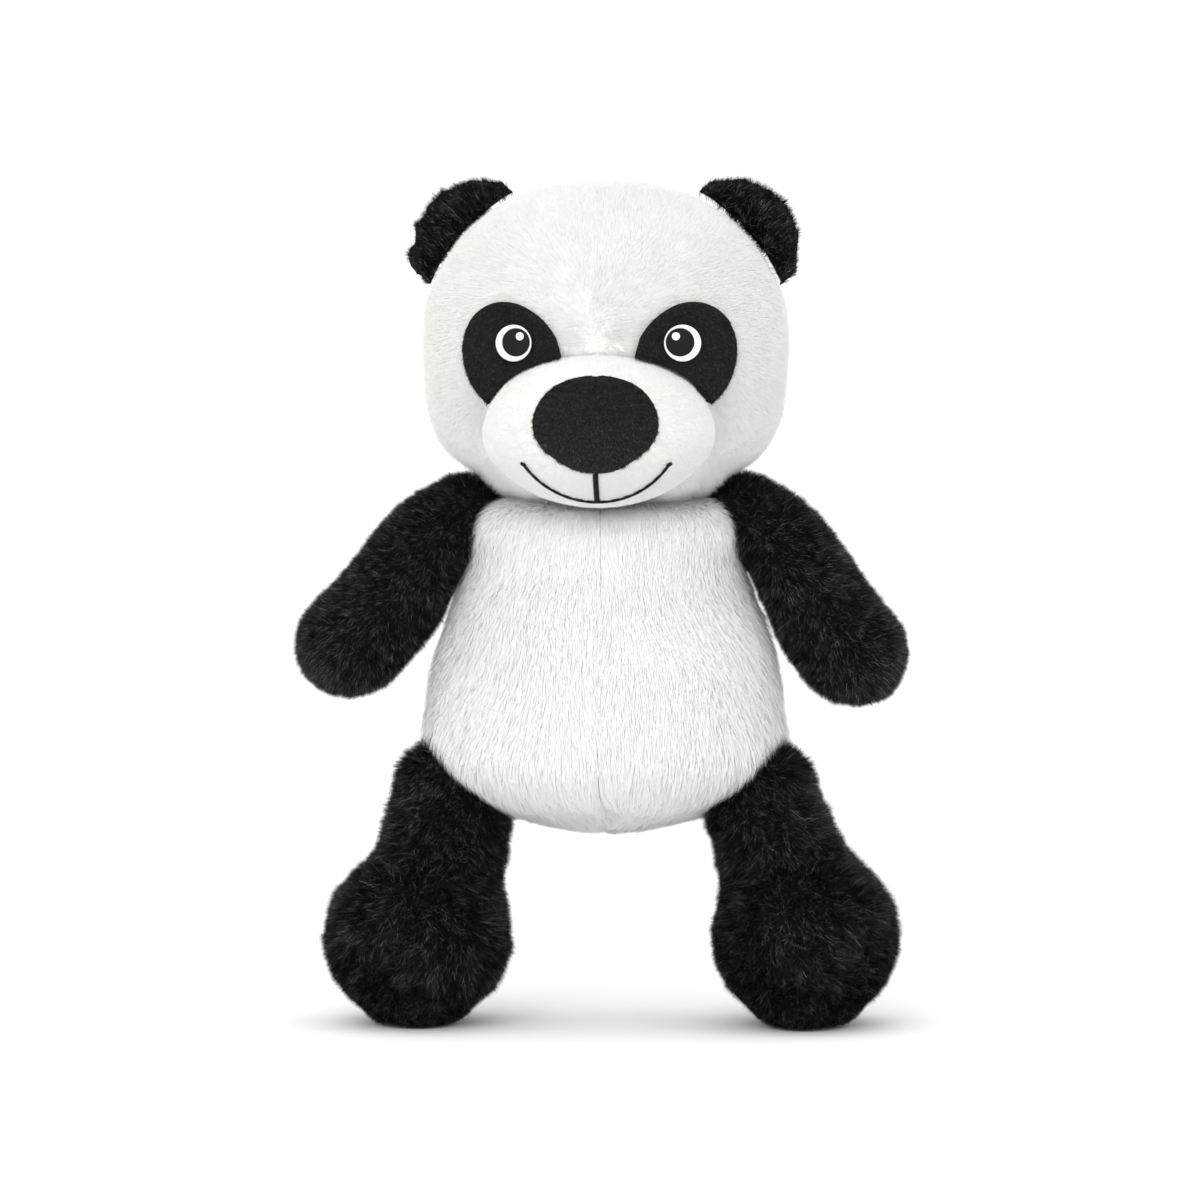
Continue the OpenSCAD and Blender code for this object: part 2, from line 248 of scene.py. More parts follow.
def points_of(mesh):
    """A mesh's vertices as an array."""
    return vectors_of(mesh.vertices, "co")


def normals_of(mesh):
    """A mesh's vertex normals as an array."""
    return vectors_of(mesh.vertex_normals, "vector")


def move_points(mesh, points):
    """Sets a mesh's vertices."""
    mesh.vertices.foreach_set("co", points.astype(np.float32).ravel())
    mesh.update()


def thicken(obj, thickness):
    """Gives a sheet its thickness, below the side that shows."""
    solid = obj.modifiers.new("thickness", "SOLIDIFY")
    solid.thickness = thickness
    solid.offset = -1
    apply_modifiers(obj)


@contextmanager
def edited(mesh):
    """A mesh opened for editing, and written back at the end."""
    bm = bmesh.new()
    bm.from_mesh(mesh)
    yield bm
    bm.to_mesh(mesh)
    bm.free()


def smooth(obj, times):
    """Evens out a mesh."""
    modifier = obj.modifiers.new("even", "SMOOTH")
    modifier.factor = 0.5
    modifier.iterations = times
    apply_modifiers(obj)


def largest_island(mesh):
    """Deletes all but the largest connected part of a mesh."""
    with edited(mesh) as bm:
        seen = set()
        islands = []
        for start in bm.verts:
            if start in seen:
                continue
            seen.add(start)
            island = [start]
            for vertex in island:
                for edge in vertex.link_edges:
                    other = edge.other_vert(vertex)
                    if other not in seen:
                        seen.add(other)
                        island.append(other)
            islands.append(island)
        islands.sort(key=len)
        for island in islands[:-1]:
            bmesh.ops.delete(bm, geom=island, context="VERTS")


def form(name, nodes, inset, voxel=3.5 * MM, whole=False):
    """One closed soft body in the place of several CAD nodes, lying inset below their surface.
    With whole, the body has no sockets in it. inset is a length, or a function of points and normals."""
    close_gap = 0.4 * MM
    bm = bmesh.new()
    for node in nodes:
        bm.from_mesh(frame["nodes"][node].data)
    bmesh.ops.remove_doubles(bm, verts=bm.verts, dist=0.001 * MM)
    if whole:
        hull = bmesh.ops.convex_hull(bm, input=bm.verts)
        inner = {part for part in hull["geom_interior"] if isinstance(part, bmesh.types.BMVert)}
        bmesh.ops.delete(bm, geom=list(inner), context="VERTS")
    bmesh.ops.recalc_face_normals(bm, faces=bm.faces)
    bm.normal_update()
    for vertex in bm.verts:
        vertex.co += vertex.normal * close_gap
    mesh = bpy.data.meshes.new(name)
    bm.to_mesh(mesh)
    bm.free()
    obj = new_object(name, mesh)
    remesh = obj.modifiers.new("remesh", "REMESH")
    remesh.mode = "VOXEL"
    remesh.voxel_size = voxel
    apply_modifiers(obj)
    largest_island(obj.data)
    smooth(obj, 4)
    start = points_of(obj.data)
    depth = inset(start, normals_of(obj.data)) if callable(inset) else np.full(len(start), inset)
    steps = 4
    for _ in range(steps):
        sunk = normals_of(obj.data) * ((depth + close_gap) / steps)[:, None]
        move_points(obj.data, points_of(obj.data) - sunk)
        smooth(obj, 2)
    return obj


def pillow(obj, seam_distance, swell, frames=14):
    """Blows the form up between its seams by cloth simulation, by no more than swell."""
    rest = points_of(obj.data)
    held = seam_distance(rest)
    group = obj.vertex_groups.new(name="seam")
    for index, distance in enumerate(held):
        group.add([index], float(1 - smoothstep(0.5 * MM, 5 * MM, distance)), "REPLACE")
    cloth = obj.modifiers.new("cloth", "CLOTH")
    cloth.settings.quality = 6
    cloth.settings.mass = 0.15
    cloth.settings.tension_stiffness = 12
    cloth.settings.compression_stiffness = 12
    cloth.settings.shear_stiffness = 6
    cloth.settings.bending_stiffness = 0.8
    cloth.settings.use_pressure = True
    cloth.settings.uniform_pressure_force = 4
    cloth.settings.effector_weights.gravity = 0
    cloth.settings.vertex_group_mass = "seam"
    cloth.collision_settings.use_collision = False
    cloth.collision_settings.use_self_collision = False
    cloth.point_cache.frame_start = 1
    cloth.point_cache.frame_end = frames
    scene = bpy.context.scene
    for number in range(1, frames + 1):
        scene.frame_set(number)
    apply_modifiers(obj)
    moved = points_of(obj.data) - rest
    far = np.linalg.norm(moved, axis=1, keepdims=True)
    move_points(obj.data, rest + moved * np.minimum(1, swell / np.maximum(far, 1e-9)))
    scene.frame_set(1)


def skin(name, nodes, inset, seam_distance, pinch=1.0 * MM, swell=2.5 * MM, lumps=0.8 * MM, voxel=3.5 * MM,
         whole=False):
    """The whole fabric surface of one stuffed body: blown up, drawn in along its seams, a little lumpy."""
    obj = form(name, nodes, inset, voxel, whole)
    pillow(obj, seam_distance, swell)
    smooth(obj, 3)
    subdivide = obj.modifiers.new("subdivide", "SUBSURF")
    subdivide.levels = 1
    apply_modifiers(obj)
    points = points_of(obj.data)
    normals = normals_of(obj.data)
    dip = np.exp(-(seam_distance(points) / (2.2 * MM)) ** 2)
    lump = lattice_noise(points, 22 * MM, 7)[:, 0] * lumps
    move_points(obj.data, points + normals * (lump - dip * pinch)[:, None])
    return obj


def panel(name, body_skin, planes, material, thickness=1.2 * MM):
    """The part of a skin on the inner side of each plane, as a fabric of its own thickness."""
    bm = bmesh.new()
    bm.from_mesh(body_skin.data)
    for point, outward in planes:
        bmesh.ops.bisect_plane(bm, geom=bm.verts[:] + bm.edges[:] + bm.faces[:], dist=1e-7,
                               plane_co=Vector(point), plane_no=Vector(outward), clear_outer=True)
    mesh = bpy.data.meshes.new(name)
    bm.to_mesh(mesh)
    bm.free()
    obj = new_object(name, mesh)
    mesh.materials.clear()
    mesh.materials.append(material)
    mesh.shade_smooth()
    outer = obj.data.copy()
    thicken(obj, thickness)
    return obj, outer


# ---- pile ----

# How far a pale pile is shaded like its skin, and how much of a black coat is of each of its shades, the last
# of which is grey fibres and painted sheen.
SOFT = 0.75
BLACK_AND_SHEEN_MIX = (0.46, 0.31, 0.15, 0.08)

HEAD_COAT = dict(per_mm2=7, length=4.2 * MM, width=0.24 * MM, lean=0.7, tuft=0.12, stray=0.14, droop=0.1,
                 soft=0.88)
MUZZLE_COAT = dict(per_mm2=14, length=1.9 * MM, width=0.20 * MM, lean=0.6, tuft=0.08, tuft_size=3 * MM,
                   stray=0.16, droop=0, soft=SOFT)
NOSE_COAT = dict(per_mm2=12, length=1.5 * MM, width=0.26 * MM, lean=1.1, tuft=0.25, tuft_size=1.6 * MM,
                 stray=0.2, droop=0, mix=(0.3, 0.3, 0.26, 0.14))
EYE_PATCH_COAT = dict(per_mm2=12, length=1.6 * MM, width=0.20 * MM, lean=0.8, tuft=0.2, tuft_size=2.5 * MM,
                      stray=0.2, droop=0, mix=(0.4, 0.3, 0.22, 0.08))
EAR_COAT = dict(per_mm2=11, length=5.2 * MM, width=0.26 * MM, lean=0.7, tuft=0.6, tuft_size=3.5 * MM,
                stray=0.3, droop=0, mix=BLACK_AND_SHEEN_MIX)
NECK_COAT = dict(per_mm2=7, length=4.5 * MM, width=0.25 * MM, lean=0.8, tuft=0.15, stray=0.15, droop=0.2,
                 soft=SOFT)
TORSO_UNDERCOAT = dict(per_mm2=7, length=4.6 * MM, width=0.23 * MM, lean=1.4, tuft=0.12, stray=0.13,
                       droop=0.1, soft=1.0)
TORSO_COAT = dict(per_mm2=4.0, length=8.0 * MM, width=0.15 * MM, lean=1.5, tuft=0.18, tuft_size=7 * MM,
                  stray=0.12, droop=0.2, long=True, soft=1.0)
ARM_COAT = dict(per_mm2=11, length=4.4 * MM, width=0.20 * MM, lean=0.45, tuft=0.4, tuft_size=3 * MM,
                stray=0.26, droop=0.05, mix=BLACK_AND_SHEEN_MIX)
LEG_COAT = dict(per_mm2=9.5, length=5.8 * MM, width=0.22 * MM, lean=0.5, tuft=0.5, tuft_size=3.5 * MM,
                stray=0.28, droop=0.1, mix=BLACK_AND_SHEEN_MIX)


def scatter(mesh, per_mm2, rng):
    """Random points on a mesh with its smooth normals there."""
    mesh.calc_loop_triangles()
    corners = np.zeros(len(mesh.loop_triangles) * 3, np.int32)
    mesh.loop_triangles.foreach_get("vertices", corners)
    corners = corners.reshape(-1, 3)
    points = points_of(mesh)
    normals = normals_of(mesh)
    a, b, c = (points[corners[:, i]] for i in range(3))
    areas = np.linalg.norm(np.cross(b - a, c - a), axis=1) / 2
    count = int(areas.sum() / MM ** 2 * per_mm2)
    chosen = rng.choice(len(areas), count, p=areas / areas.sum())
    u, v = rng.random(count), rng.random(count)
    flip = u + v > 1
    u[flip], v[flip] = 1 - u[flip], 1 - v[flip]
    weights = np.stack([1 - u - v, u, v], axis=1)[:, :, None]
    place = (points[corners[chosen]] * weights).sum(axis=1)
    facing = unit((normals[corners[chosen]] * weights).sum(axis=1))
    return place, facing


def strands(name, roots, directions, bends, lengths, widths, faces_out, materials, shade, long, soft, rng):
    """A mesh of tapering strands. Long ones bend once, and short ones are straight. soft is how far each
    strand is shaded like the surface it stands on, as light scatters through a pale pile."""
    count = len(roots)
    middles = roots + directions * lengths[:, None] * 0.55
    tips = middles + unit(directions + bends) * lengths[:, None] * 0.45
    across = unit(np.cross(directions, faces_out) + 1e-6)
    roll = rng.normal(0, 0.45, count)[:, None]
    across = unit(across * np.cos(roll) + np.cross(directions, across) * np.sin(roll))
    half = across * widths[:, None] / 2
    if long:
        points = np.stack([roots - half, roots + half, middles + half * 0.85, middles - half * 0.85, tips],
                          axis=1)
        corners, starts = [0, 1, 2, 3, 3, 2, 4], [0, 4]
    else:
        points = np.stack([roots - half, roots + half, tips], axis=1)
        corners, starts = [0, 1, 2], [0]
    points[:, :, 2] = np.maximum(points[:, :, 2], 0.25 * MM)
    every = np.arange(count)[:, None]
    faces = count * len(starts)
    mesh = bpy.data.meshes.new(name)
    mesh.vertices.add(points.shape[0] * points.shape[1])
    mesh.vertices.foreach_set("co", points.astype(np.float32).ravel())
    mesh.loops.add(count * len(corners))
    mesh.loops.foreach_set("vertex_index", (every * points.shape[1] + corners).ravel().astype(np.int32))
    mesh.polygons.add(faces)
    mesh.polygons.foreach_set("loop_start", (every * len(corners) + starts).ravel().astype(np.int32))
    mesh.polygons.foreach_set("material_index", np.repeat(shade, len(starts)).astype(np.int32))
    mesh.polygons.foreach_set("use_smooth", np.ones(faces, bool))
    for material in materials:
        mesh.materials.append(material)
    mesh.update(calc_edges=True)
    if soft > 0:
        facing = unit(np.cross(across, directions)) * (1 - soft) + faces_out * soft
        mesh.normals_split_custom_set_from_vertices(np.repeat(unit(facing), points.shape[1], axis=0))
    return new_object(name, mesh)


def pile(name, mesh, materials, seed, *, per_mm2, length, width, lean, tuft, stray, droop,
         tuft_size=5 * MM, mix=None, long=False, soft=0.0, comb=None, keep=None, shorten=None):
    """The fur of one panel. lean is how far the strands lie over: 0 stands up and 1 lies at 45 degrees.
    Tufts and stray strands turn away from that, and droop bends the tips down."""
    rng = np.random.default_rng(seed)
    roots, normals = scatter(mesh, per_mm2, rng)
    if keep is not None:
        kept = keep(roots, normals)
        roots, normals = roots[kept], normals[kept]
    count = len(roots)
    flow = comb(roots, normals) if comb is not None else np.tile(-UP, (count, 1))
    flow = flow + lattice_noise(roots, 28 * MM, seed + 1) * 0.35
    along = unit(flow - normals * (flow * normals).sum(axis=1, keepdims=True))
    tufts = lattice_noise(roots, tuft_size, seed + 2) * tuft
    tufts += lattice_noise(roots, tuft_size * 0.45, seed + 3) * tuft * 0.6
    directions = unit(normals + along * lean + tufts + rng.normal(0, stray, (count, 3)))
    outward = (directions * normals).sum(axis=1, keepdims=True)
    directions = unit(directions + normals * np.maximum(0, 0.3 - outward))
    bends = along * lean * 0.6 - UP * droop + rng.normal(0, stray * 0.8, (count, 3))
    lengths = length * (0.86 + 0.5 * tuft * lattice_noise(roots, tuft_size * 1.3, seed + 4)[:, 0])
    lengths *= rng.uniform(0.7, 1.12, count)
    if shorten is not None:
        lengths *= shorten(roots)
    widths = width * rng.uniform(0.7, 1.3, count)
    shade = rng.choice(len(materials), count, p=mix)
    return strands(name, roots - normals * 0.2 * MM, directions, bends, lengths, widths, normals, materials,
                   shade, long, soft, rng)


# ---- shapes shared by the panels and the pile ----

HALF_GAP = 0.1 * MM


def side_cut(face):
    """The plane beside the side seam that leaves the front of a skin, for -1, or its back, for 1."""
    return (0, SEAM_Y + face * HALF_GAP, 0), (0, -face, 0)


def middle_cut(sign):
    """The plane beside the middle seam that leaves the left of a skin, for 1, or its right, for -1."""
    return (MIDDLE_X + sign * HALF_GAP, 0, 0), (-sign, 0, 0)


def from_side_seam(points):
    """How far points are from the seam plane across the toy."""
    return np.abs(points[:, 1] - SEAM_Y)


def from_plane(point, normal):
    """A function giving how far points are from a plane."""
    axis = unit(np.array(normal, float))
    return lambda points: np.abs((points - np.array(point)) @ axis)


def side_and_middle_seams(points, front_middle=True):
    """Distance to the seam plane across the toy, and to the middle seam of its back, and of its front."""
    middle = np.abs(points[:, 0] - MIDDLE_X)
    if not front_middle:
        middle = middle + np.maximum(0, SEAM_Y - points[:, 1])
    return np.minimum(from_side_seam(points), middle)


def outside_muzzle(points):
    """How far points are outside the muzzle. It is less than 0 inside."""
    centre = (MUZZLE_LOW + MUZZLE_HIGH) / 2
    half_width = (MUZZLE_HIGH[0] - MUZZLE_LOW[0]) / 2
    radius = (MUZZLE_HIGH[2] - MUZZLE_LOW[2]) / 2
    centre[1] = MUZZLE_LOW[1] + radius
    scaled = (points - centre) / np.array([half_width, radius, radius])
    return (np.linalg.norm(scaled, axis=1) - 1) * radius


def lay(piece, node):
    """Puts a piece in the place of its CAD node, which is hidden: it moves with that node's body."""
    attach(piece, frame["nodes"][node]["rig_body"])
    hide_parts(node)


def sew(piece, node):
    """Lays a stuffed piece in the place of its CAD node."""
    lay(piece, node)


def grow(piece, body):
    """Hangs a pile on its body, so that it moves with it."""
    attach(piece, body)


def furred_panel(node, body_skin, planes, fabric_material, slot_name, materials, coat, seed,
                 thickness=1.2 * MM, fill=0.8, **ways):
    """One sewn panel: its fabric, cut from a body's skin, and the pile that grows on it."""
    fabric, outer = panel(node + "_fabric", body_skin, planes, fabric_material, thickness)
    sew(fabric, node)
    fur = pile(node + "_pile", outer, materials, seed, **coat, **ways)
    grow(fur, frame["nodes"][node]["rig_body"])


def tree_of(mesh):
    """A ray-casting tree of a mesh's surface."""
    bm = bmesh.new()
    bm.from_mesh(mesh)
    tree = BVHTree.FromBMesh(bm)
    bm.free()
    return tree


def cad_tree(node):
    """A ray-casting tree of a CAD node's surface."""
    return tree_of(frame["nodes"][node].data)


def drape(tree, xs, zs, lift):
    """Points on a surface seen from the front, at places across and up, raised along its normal by lift,
    which is one length or one for each place."""
    placed = []
    for x, z, height in zip(xs, zs, np.broadcast_to(lift, len(xs))):
        hit, normal, _, _ = tree.ray_cast(Vector((x, -1, z)), Vector((0, 1, 0)))
        if hit is None:
            hit, normal, _, _ = tree.find_nearest(Vector((x, MUZZLE_LOW[1], z)))
        placed.append(hit + normal * float(height))
    return np.array(placed)


def outline_of(node, count):
    """The middle of a flat node seen from the front, and how far its outline is at each of count angles."""
    tree = cad_tree(node)
    low, high = node_box(node)
    middle = (low + high) / 2
    reach = float(np.linalg.norm(high - low))
    radii = []
    for i in range(count):
        angle = 2 * math.pi * i / count
        inside, outside = 0.0, reach
        for _ in range(16):
            at = (inside + outside) / 2
            place = Vector((middle[0] + at * math.cos(angle), -1, middle[2] + at * math.sin(angle)))
            if tree.ray_cast(place, Vector((0, 1, 0)))[0] is None:
                outside = at
            else:
                inside = at
        radii.append(inside)
    return middle, np.array(radii)


def within(points, middle, radii, more=0.0):
    """True for points that are inside an outline seen from the front, grown by more."""
    across = points[:, 0] - middle[0]
    up = points[:, 2] - middle[2]
    angle = np.arctan2(up, across) % (2 * math.pi)
    count = len(radii)
    place = angle / (2 * math.pi) * count
    low = np.floor(place).astype(int) % count
    part = place - np.floor(place)
    radius = radii[low] * (1 - part) + radii[(low + 1) % count] * part
    return np.hypot(across, up) < radius + more


def ring_faces(rings, around, base=0):
    """Faces between rings of points, as lists of the points' numbers."""
    faces = []
    for ring in range(rings - 1):
        first = base + ring * around
        second = first + around
        for i in range(around):
            after = (i + 1) % around
            faces.append((first + i, first + after, second + after, second + i))
    return faces


def smooth_mesh(name, points, faces, material):
    """A smooth mesh of one material."""
    mesh = bpy.data.meshes.new(name)
    mesh.from_pydata([tuple(p) for p in points], [], faces)
    mesh.materials.append(material)
    mesh.shade_smooth()
    return mesh


def face_forwards(mesh):
    """Turns a mesh's faces so that they look to the front."""
    with edited(mesh) as bm:
        bmesh.ops.recalc_face_normals(bm, faces=bm.faces)
        if sum(face.normal.y * face.calc_area() for face in bm.faces) > 0:
            bmesh.ops.reverse_faces(bm, faces=bm.faces)


def patch(name, node, surface, lift, material, shape=None, rounding=0.0):
    """A flat-cut patch of short-pile fabric that lies lift above a surface of the face, and lower at its
    edge by rounding. Returns its outer surface for the pile, its middle and its outline."""
    around, rings = 96, 14
    middle, radii = outline_of(node, around)
    angles = np.arange(around) * 2 * math.pi / around
    if shape is not None:
        radii = radii * shape(angles)
    shares = np.linspace(1 / rings, 0.985, rings)
    xs = middle[0] + np.outer(shares, radii * np.cos(angles)).ravel()
    zs = middle[2] + np.outer(shares, radii * np.sin(angles)).ravel()
    lifts = lift - rounding * np.repeat(shares, around) ** 5
    points = drape(surface, np.append(xs, middle[0]), np.append(zs, middle[2]), np.append(lifts, lift))
    faces = ring_faces(rings, around)
    centre = rings * around
    for i in range(around):
        faces.append((centre, (i + 1) % around, i))
    mesh = smooth_mesh(name, points, faces, material)
    face_forwards(mesh)
    outer = mesh.copy()
    obj = new_object(name, mesh)
    thicken(obj, 2.4 * MM)
    sew(obj, node)
    return outer, middle, radii


# ---- fur directions ----

def head_flow(points, normals):
    """The head's pile runs back and down from the muzzle, and straight down behind."""
    away = points - (HEAD_CENTRE + np.array([0, -0.06, -0.01]))
    behind = smoothstep(SEAM_Y - 10 * MM, SEAM_Y + 20 * MM, points[:, 1:2])
    return unit(away) + np.array([0, 0.2, -0.5]) - UP * behind * 1.2


def torso_flow(points, normals):
    """The torso's pile is combed down and towards its middle seams."""
    beside = (points - np.array([MIDDLE_X, SEAM_Y, 0])) * np.array([1, 1, 0])
    flow = np.tile(-UP, (len(points), 1))
    flow[:, 0] -= beside[:, 0] / 0.066 * 0.38
    top = np.maximum(0, normals[:, 2:3] - 0.5)
    return flow + unit(beside) * top * 2


def spread_from(root, tip):
    """Pile that runs from a limb's root to its tip and on over the end."""
    axis = unit(np.array(tip) - np.array(root))
    end = np.array(tip) + axis * 0.02

    def flow(points, normals):
        return unit(end - points) * 0.6 + axis

    return flow


# ---- head ----

def from_neck(points):
    """How far points are from the middle of the neck."""
    return np.linalg.norm(points - NECK_CENTRE, axis=1)


def clear_of_neck(points):
    """True for points outside the stuffed neck."""
    return from_neck(points) > NECK_RADIUS - 1.5 * MM


def stuffing(node, body_skin, inset=2.2 * MM):
    """The filling inside a skin. The whole skin goes, because its panels have been cut from it."""
    obj = new_object(node + "_filling", body_skin.data.copy())
    move_points(obj.data, points_of(obj.data) - normals_of(obj.data) * inset)
    obj.data.materials.clear()
    obj.data.materials.append(FILLING)
    sew(obj, node)
    bpy.data.objects.remove(body_skin)


def seam_cut(distance):
    """Pile is shorter beside a seam."""
    return 1 - 0.2 * np.exp(-(distance / (2 * MM)) ** 2)


def build_head():
    """The head's three panels, their pile and the filling."""
    ears = [np.mean(node_box(side + "_ear_front_panel", side + "_ear_back_panel"), axis=0)
            for side, _ in SIDES]
    patches = [outline_of(side + "_eye_patch", 72) for side, _ in SIDES]

    def seams(points):
        return side_and_middle_seams(points, front_middle=False)

    def chin_side(points):
        beside = smoothstep(13 * MM, 3 * MM, outside_muzzle(points))
        return beside * smoothstep(MUZZLE_MIDDLE_Z + 4 * MM, MUZZLE_MIDDLE_Z - 10 * MM, points[:, 2])

    def near_ears(points):
        return np.max([smoothstep(32 * MM, 14 * MM, np.linalg.norm(points - ear, axis=1)) for ear in ears],
                      axis=0)

    def inset(points, normals):
        near_neck = smoothstep(48 * MM, 34 * MM, from_neck(points))
        at_side = smoothstep(44 * MM, 14 * MM, from_side_seam(points))
        cheek = smoothstep(0.1, 0.6, -normals[:, 2]) * smoothstep(0.35, 0.75, np.abs(normals[:, 0]))
        # In millimetres. The skin lies below the CAD by its fur's depth, and above it in the hollows.
        swollen = near_neck * (2.0 + 2.2 * at_side) + 4.0 * cheek * at_side + 4.0 * chin_side(points)
        return (2.8 - swollen + 0.8 * near_ears(points)) * MM

    body = skin("head_skin", HEAD_PANELS + ("head_stuffing",), inset, seams, pinch=0.6 * MM, lumps=0.5 * MM,
                whole=True)
    cuts = ([side_cut(-1)], [side_cut(1), middle_cut(1)], [side_cut(1), middle_cut(-1)])

    def keep(roots, normals):
        kept = clear_of_neck(roots) & (outside_muzzle(roots) > -1.2 * MM)
        front = normals[:, 1] < 0.2
        for middle, radii in patches:
            kept &= ~(front & within(roots + normals * 3.2 * MM, middle, radii, -0.3 * MM))
        return kept

    def head_length(roots):
        beside_muzzle = (outside_muzzle(roots) < 3.5 * MM) & (chin_side(roots) < 0.3)
        near_neck = smoothstep(50 * MM, 38 * MM, from_neck(roots))
        length = seam_cut(seams(roots)) * (1 - 0.35 * beside_muzzle)
        return length * (1 + 0.5 * near_neck) * (1 - 0.3 * near_ears(roots))

    for seed, (node, planes) in enumerate(zip(HEAD_PANELS, cuts)):
        furred_panel(node, body, planes, WHITE_KNIT, "white_plush", WHITE_PILE, HEAD_COAT, 100 + 10 * seed,
                     comb=head_flow, keep=keep, shorten=head_length)
    stuffing("head_stuffing", body)


# ---- muzzle ----

def nose_shape(angles):
    """The nose is an oval, a little flat on top with a small notch, and narrower at its bottom."""
    notch = 0.025 * np.exp(-((angles - math.pi / 2) / 0.09) ** 2)
    shoulders = 0.015 * np.exp(-((np.abs(angles - math.pi / 2) - 0.85) / 0.35) ** 2)
    taper = 0.04 * np.exp(-((np.abs(angles - 1.5 * math.pi) - 0.85) / 0.35) ** 2)
    return 0.955 - notch + shoulders - taper


def mouth_line(count):
    """Places across and up along the smile, from one end to the other."""
    low, high = node_box("mouth_thread")
    half = (high[0] - low[0]) / 2
    drop = high[2] - low[2]
    radius = (half ** 2 + drop ** 2) / 2 / drop
    middle_x = (low[0] + high[0]) / 2
    reach = math.asin(min(1, half / radius))
    angles = np.linspace(-reach, reach, count)
    return middle_x + radius * np.sin(angles), low[2] + radius - radius * np.cos(angles)


def stitch(start, end, outward, width, height):
    """One stitch of a satin thread: a low rounded bar that dips into the fabric at both ends."""
    along_steps, round_steps = 9, 10
    start, end, outward = (np.array(v, float) for v in (start, end, outward))
    along = unit(end - start)
    across = unit(np.cross(along, outward))
    rows = []
    for i in range(along_steps):
        share = i / (along_steps - 1)
        swell = math.sin(math.pi * min(max(share, 0.04), 0.96)) ** 0.4
        centre = start + (end - start) * share + outward * height * (swell - 1) * 0.9
        ring = []
        for j in range(round_steps):
            angle = 2 * math.pi * j / round_steps
            ring.append(centre + across * math.cos(angle) * width / 2 * swell
                        + outward * math.sin(angle) * height / 2 * swell)
        rows.append(ring)
    return rows


def thread_piece(name, stitches, material):
    """Several stitches as one piece."""
    points, faces = [], []
    for rows in stitches:
        rows = np.asarray(rows)
        down, across = rows.shape[:2]
        base = len(points)
        points.extend(rows.reshape(-1, 3))
        faces.extend(ring_faces(down, across, base))
        faces.append(tuple(base + j for j in range(across)))
        faces.append(tuple(base + (down - 1) * across + j for j in reversed(range(across))))
    mesh = smooth_mesh(name, points, faces, material)
    with edited(mesh) as bm:
        bmesh.ops.recalc_face_normals(bm, faces=bm.faces)
    return new_object(name, mesh)


def build_muzzle():
    """The muzzle's velour, its filling, the nose patch, the mouth and the thread between them."""
    depth = 30 * MM

    def edge(points):
        return depth - np.abs(points[:, 1] - MUZZLE_LOW[1])

    def inset(points, normals):
        return (1.0 + 2.2 * smoothstep(0.2, 0.9, -normals[:, 2])) * MM

    body = skin("muzzle_skin", ("muzzle_panel", "muzzle_stuffing"), inset, edge, pinch=0, swell=0.6 * MM,
                lumps=0.3 * MM, voxel=2.2 * MM)
    fabric, outer = panel("muzzle_fabric", body, [], WHITE_KNIT, thickness=0.8 * MM)
    sew(fabric, "muzzle_panel")
    stuffing("muzzle_stuffing", body, inset=1.5 * MM)
    surface = tree_of(outer)

    nose_outer, nose_middle, nose_radii = patch("nose_patch_fabric", "nose_patch", surface, 3.0 * MM,
                                                BLACK_KNIT, nose_shape, rounding=1.8 * MM)
    mouth_x, mouth_z = mouth_line(29)
    philtrum_low = mouth_z.min()
    philtrum_high = node_box("philtrum_thread")[1][2]

    def keep(roots, normals):
        inside_head = np.linalg.norm((roots - HEAD_CENTRE) / HEAD_REACH, axis=1) < 0.92
        nose = within(roots + normals * 2.0 * MM, nose_middle, nose_radii, -0.5 * MM)
        to_mouth = np.min(np.hypot(roots[:, None, 0] - mouth_x, roots[:, None, 2] - mouth_z), axis=1)
        mouth = to_mouth < 0.7 * MM
        philtrum = ((np.abs(roots[:, 0] - MIDDLE_X) < 1.0 * MM) & (roots[:, 2] > philtrum_low)
                    & (roots[:, 2] < philtrum_high))
        covered = (nose | mouth | philtrum) & (normals[:, 1] < 0)
        return clear_of_neck(roots) & ~inside_head & ~covered

    def flow(points, normals):
        away = points - (MUZZLE_LOW + MUZZLE_HIGH) / 2
        away[:, 1] = 0
        return unit(away) + np.array([0, 0.5, 0])

    velour = pile("muzzle_pile", outer, WHITE_PILE, 200, comb=flow, keep=keep, **MUZZLE_COAT)
    grow(velour, "head")

    def nose_flow(points, normals):
        row = np.floor((points[:, 2] - 4 * (points[:, 0] - MIDDLE_X) ** 2) / (1.3 * MM)) % 2 * 2 - 1
        return np.stack([row * 0.5, np.zeros(len(points)), np.full(len(points), -0.8)], axis=1)

    nap = pile("nose_pile", nose_outer, SHORT_BLACK, 230, comb=nose_flow, **NOSE_COAT)
    grow(nap, "head")
    build_mouth(surface, mouth_x, mouth_z)
    build_philtrum(surface, philtrum_low, philtrum_high)


def build_mouth(surface, mouth_x, mouth_z):
    """The smile: overlapping stitches along a line on a surface, with a short hook at each end."""
    outward = np.array([0, -1, 0])
    points = drape(surface, mouth_x, mouth_z, 1.1 * MM)
    stitches = []
    for start, end in zip(points[:-2:2], points[2::2]):
        overlap = (end - start) * 0.25
        stitches.append(stitch(start - overlap, end + overlap, outward, 1.1 * MM, 1.2 * MM))
    for end, way in ((points[0], -1), (points[-1], 1)):
        hook = np.array([way * 1.1, 0.3, 0.5]) * MM
        stitches.append(stitch(end - hook, end + hook, outward, 1.3 * MM, 1.8 * MM))
    lay(thread_piece("mouth_stitches", stitches, BLACK_THREAD), "mouth_thread")


